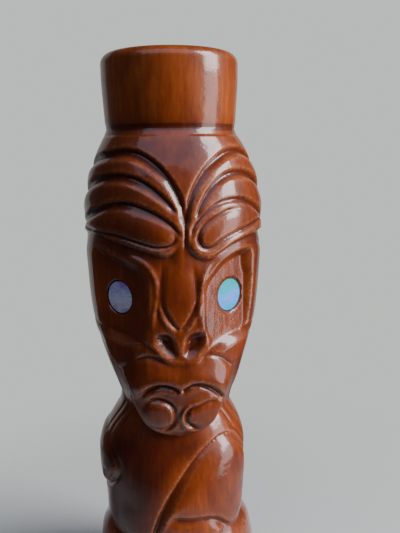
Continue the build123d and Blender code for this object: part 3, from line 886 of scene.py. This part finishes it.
def lacquered_wood():
    """Red-brown wood under lacquer: grain, pores and patches, with painted shade in the cuts and under the
    chin and collar, and pale crests that are partly wear and partly painted highlight.
    """
    material, nodes, links, shader = new_material("lacquered_wood")
    place = nodes.new("ShaderNodeTexCoord").outputs["Object"]
    grain_space = stretched(nodes, links, place, (1.0, 1.0, 0.12))
    broad = noise(nodes, links, stretched(nodes, links, place, (1.0, 1.0, 0.6)), 38, 4, 0.6, 0.5)
    streaks = noise(nodes, links, grain_space, 420, 6, 0.65, 0.4)
    pores = noise(nodes, links, grain_space, 1900, 2, 0.5)
    wood = ramp(nodes, links, streaks, [(0.2, WOOD_DARK), (0.5, WOOD_MIDDLE), (0.85, WOOD_LIGHT)])
    wood = mix(nodes, links, 0.8, wood, ramp(nodes, links, broad, PATCH_TINTS), "MULTIPLY")
    upright = nodes.new("ShaderNodeSeparateXYZ")
    links.new(place, upright.inputs[0])
    paler = nodes.new("ShaderNodeMapRange")
    paler.inputs["From Min"].default_value = COLLAR_PALE[0]
    paler.inputs["From Max"].default_value = COLLAR_PALE[1]
    links.new(upright.outputs["Z"], paler.inputs["Value"])
    golden = mix(nodes, links, 1.0, wood, COLLAR_TINT, "MULTIPLY")
    wood = mix(nodes, links, paler.outputs["Result"], wood, golden)
    # painted shade and stain: the wood is darker where the painted value is high
    deep = mix(nodes, links, 1.0, wood, SHADE_AND_STAIN_TINT, "MULTIPLY")
    wood = mix(nodes, links, painted(nodes, "shade_and_stain"), wood, deep)
    # pale crests, partly wear and partly painted highlight, broken up by scuffs
    scuffs = ramp(nodes, links, noise(nodes, links, place, 700, 4, 0.6), SCUFFS)
    worn_and_lit = nodes.new("ShaderNodeMath")
    worn_and_lit.operation = "MULTIPLY"
    links.new(painted(nodes, "wear_and_highlight"), worn_and_lit.inputs[0])
    links.new(scuffs, worn_and_lit.inputs[1])
    wood = mix(nodes, links, worn_and_lit.outputs[0], wood, WORN_AND_LIT_WOOD)
    links.new(wood, shader.inputs["Base Color"])
    shader.inputs["Roughness"].default_value = 0.42
    shader.inputs["Specular IOR Level"].default_value = 0.25
    shader.inputs["Coat Weight"].default_value = 0.85
    shader.inputs["Coat Roughness"].default_value = 0.11
    shader.inputs["Coat IOR"].default_value = 1.45
    uneven = noise(nodes, links, place, 110, 3, 0.5)
    surface = bump(nodes, links, streaks, 0.08, 0.0005)
    surface = bump(nodes, links, pores, 0.06, 0.0002, surface)
    surface = bump(nodes, links, uneven, 0.2, 0.0012, surface)
    links.new(surface, shader.inputs["Normal"])
    links.new(surface, shader.inputs["Coat Normal"])
    return material


def shell(name, stops, shift):
    """Polished iridescent shell: colours change from the bottom of the disc to the top in wavy bands."""
    material, nodes, links, shader = new_material(name)
    coordinates = nodes.new("ShaderNodeTexCoord")
    moved = nodes.new("ShaderNodeMapping")
    moved.inputs["Location"].default_value = shift
    moved.inputs["Scale"].default_value = (1.0, 1.0, 2.6)
    links.new(coordinates.outputs["Object"], moved.inputs["Vector"])
    waves = noise(nodes, links, moved.outputs["Vector"], 130, 5, 0.6, 1.2)
    spread = nodes.new("ShaderNodeSeparateXYZ")
    links.new(coordinates.outputs["Generated"], spread.inputs[0])
    wavy = nodes.new("ShaderNodeMath")
    wavy.operation = "MULTIPLY_ADD"
    wavy.inputs[1].default_value = 1.3
    wavy.inputs[2].default_value = -0.65
    links.new(waves, wavy.inputs[0])
    level = nodes.new("ShaderNodeMath")
    links.new(spread.outputs["Z"], level.inputs[0])
    links.new(wavy.outputs[0], level.inputs[1])
    links.new(ramp(nodes, links, level.outputs[0], stops), shader.inputs["Base Color"])
    shader.inputs["Roughness"].default_value = 0.3
    shader.inputs["Specular IOR Level"].default_value = 0.2
    shader.inputs["Coat Weight"].default_value = 0.3
    shader.inputs["Coat Roughness"].default_value = 0.05
    links.new(bump(nodes, links, waves, 0.05, 0.0004), shader.inputs["Normal"])
    return material


def setting_pitch():
    """Nearly black, gritty pitch."""
    material, nodes, links, shader = new_material("setting_pitch")
    place = nodes.new("ShaderNodeTexCoord").outputs["Object"]
    grit = noise(nodes, links, place, 900, 3)
    links.new(ramp(nodes, links, grit, PITCH), shader.inputs["Base Color"])
    shader.inputs["Roughness"].default_value = 0.45
    links.new(bump(nodes, links, grit, 0.3, 0.0003), shader.inputs["Normal"])
    return material


def set_material(obj, material):
    obj.data.materials.clear()
    obj.data.materials.append(material)


# ---- the pieces ----
wood = bpy.data.objects.new("carved_wood", wood_mesh())
bpy.context.scene.collection.objects.link(wood)
set_material(wood, lacquered_wood())
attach(wood, "root")
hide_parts("carved_body")

pitch = setting_pitch()
bright_shell = shell("bright_shell", BRIGHT_SHELL, (0.0, 0.0, 0.0))
muted_shell = shell("muted_shell", MUTED_SHELL, (0.3, 0.1, 0.2))
eye_materials = {
    "left_eye_bed": pitch,
    "right_eye_bed": pitch,
    "left_eye_inlay": muted_shell,
    "right_eye_inlay": bright_shell,
}
for name, material in eye_materials.items():
    set_material(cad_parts[name], material)


# ---- floor, light and camera ----
FLOOR_SOLID = 0.055  # radius inside which the floor doesn't fade
FLOOR_RADIUS = 0.30
FLOOR_COLOUR = (0.52, 0.53, 0.51, 1)
AIM_HEIGHT = 0.17  # what the lights look at
SEEN_BACKGROUND = (0.70, 0.74, 0.715, 1)
AMBIENT = (0.60, 0.62, 0.66, 1)
AMBIENT_STRENGTH = 0.06

# The camera's place round the mug, and which way it looks from there.
CAMERA_DISTANCE = 0.299
CAMERA_HEIGHT = 0.237
CAMERA_AZIMUTH = math.radians(-3.0)
CAMERA_AIM = math.radians(2.62)
CAMERA_DOWN = math.radians(10.9)
CAMERA_ROLL = math.radians(0.6)
CAMERA_LENS = 40.5


def add_floor():
    """Pale round floor that fades into the background."""
    material, nodes, links, shader = new_material("pale_floor")
    shader.inputs["Base Color"].default_value = FLOOR_COLOUR
    shader.inputs["Roughness"].default_value = 0.8
    place = nodes.new("ShaderNodeTexCoord").outputs["Object"]
    reach = nodes.new("ShaderNodeVectorMath")
    reach.operation = "LENGTH"
    links.new(place, reach.inputs[0])
    fade = nodes.new("ShaderNodeMapRange")
    fade.interpolation_type = "SMOOTHSTEP"
    fade.inputs["From Min"].default_value = FLOOR_SOLID
    fade.inputs["From Max"].default_value = FLOOR_RADIUS
    links.new(reach.outputs["Value"], fade.inputs["Value"])
    clear = nodes.new("ShaderNodeBsdfTransparent")
    blend = nodes.new("ShaderNodeMixShader")
    links.new(fade.outputs["Result"], blend.inputs[0])
    links.new(shader.outputs[0], blend.inputs[1])
    links.new(clear.outputs[0], blend.inputs[2])
    links.new(blend.outputs[0], nodes["Material Output"].inputs["Surface"])
    centre = (0, 0, cad_low.z)
    bpy.ops.mesh.primitive_circle_add(vertices=96, radius=FLOOR_RADIUS, fill_type="NGON", location=centre)
    floor = bpy.context.object
    floor.name = "floor"
    set_material(floor, material)


def add_light(name, azimuth, elevation, distance, width, height, power, colour):
    """Soft rectangular light looking at the middle of the mug."""
    a = math.radians(azimuth)
    e = math.radians(elevation)
    middle = Vector((0, 0, AIM_HEIGHT))
    out = Vector((math.sin(a) * math.cos(e), -math.cos(a) * math.cos(e), math.sin(e)))
    data = bpy.data.lights.new(name, "AREA")
    data.shape = "RECTANGLE"
    data.size = width
    data.size_y = height
    data.energy = power
    data.color = colour
    light = bpy.data.objects.new(name, data)
    light.location = middle + out * distance
    light.rotation_mode = "QUATERNION"
    light.rotation_quaternion = out.to_track_quat("Z", "Y")
    light.visible_camera = False
    bpy.context.scene.collection.objects.link(light)


def add_world():
    """A pale background to look at, and a much dimmer light from all round."""
    world = bpy.data.worlds.new("studio")
    world.use_nodes = True
    nodes, links = world.node_tree.nodes, world.node_tree.links
    background = nodes["Background"]
    seen = nodes.new("ShaderNodeBackground")
    seen.inputs["Color"].default_value = SEEN_BACKGROUND
    seen.inputs["Strength"].default_value = 1.0
    background.inputs["Color"].default_value = AMBIENT
    background.inputs["Strength"].default_value = AMBIENT_STRENGTH
    rays = nodes.new("ShaderNodeLightPath")
    choose = nodes.new("ShaderNodeMixShader")
    links.new(rays.outputs["Is Camera Ray"], choose.inputs[0])
    links.new(background.outputs[0], choose.inputs[1])
    links.new(seen.outputs[0], choose.inputs[2])
    links.new(choose.outputs[0], nodes["World Output"].inputs["Surface"])
    bpy.context.scene.world = world


def add_camera():
    """Close, a little above the head and looking slightly down at the face."""
    sideways = CAMERA_DISTANCE * math.sin(CAMERA_AZIMUTH)
    position = Vector((sideways, -CAMERA_DISTANCE * math.cos(CAMERA_AZIMUTH), CAMERA_HEIGHT))
    heading = CAMERA_AZIMUTH - CAMERA_AIM
    level = Vector((-math.sin(heading), math.cos(heading), 0))
    right = Vector((math.cos(heading), math.sin(heading), 0))
    forward = level * math.cos(CAMERA_DOWN) - Vector((0, 0, 1)) * math.sin(CAMERA_DOWN)
    up = right.cross(forward)
    rolled_right = right * math.cos(CAMERA_ROLL) - up * math.sin(CAMERA_ROLL)
    rolled_up = up * math.cos(CAMERA_ROLL) + right * math.sin(CAMERA_ROLL)
    data = bpy.data.cameras.new("camera")
    data.lens = CAMERA_LENS
    data.sensor_width = 36.0
    data.clip_start = 0.01
    camera = bpy.data.objects.new("camera", data)
    turn = Matrix((rolled_right, rolled_up, -forward)).transposed()
    camera.matrix_world = Matrix.Translation(position) @ turn.to_4x4()
    bpy.context.scene.collection.objects.link(camera)
    bpy.context.scene.camera = camera


add_floor()
add_light("window", 69, 31, 1.6, 0.72, 1.2, 54, (0.95, 0.97, 1.0))
add_light("window_wall", 69, -5, 1.5, 0.72, 0.9, 11, (1.0, 0.84, 0.86))
add_light("room", -6, 56, 1.5, 2.2, 1.1, 11, (0.66, 0.72, 1.0))
add_light("wall", 185, 6, 1.4, 2.6, 1.8, 5, (1.0, 0.99, 0.96))
add_world()
add_camera()
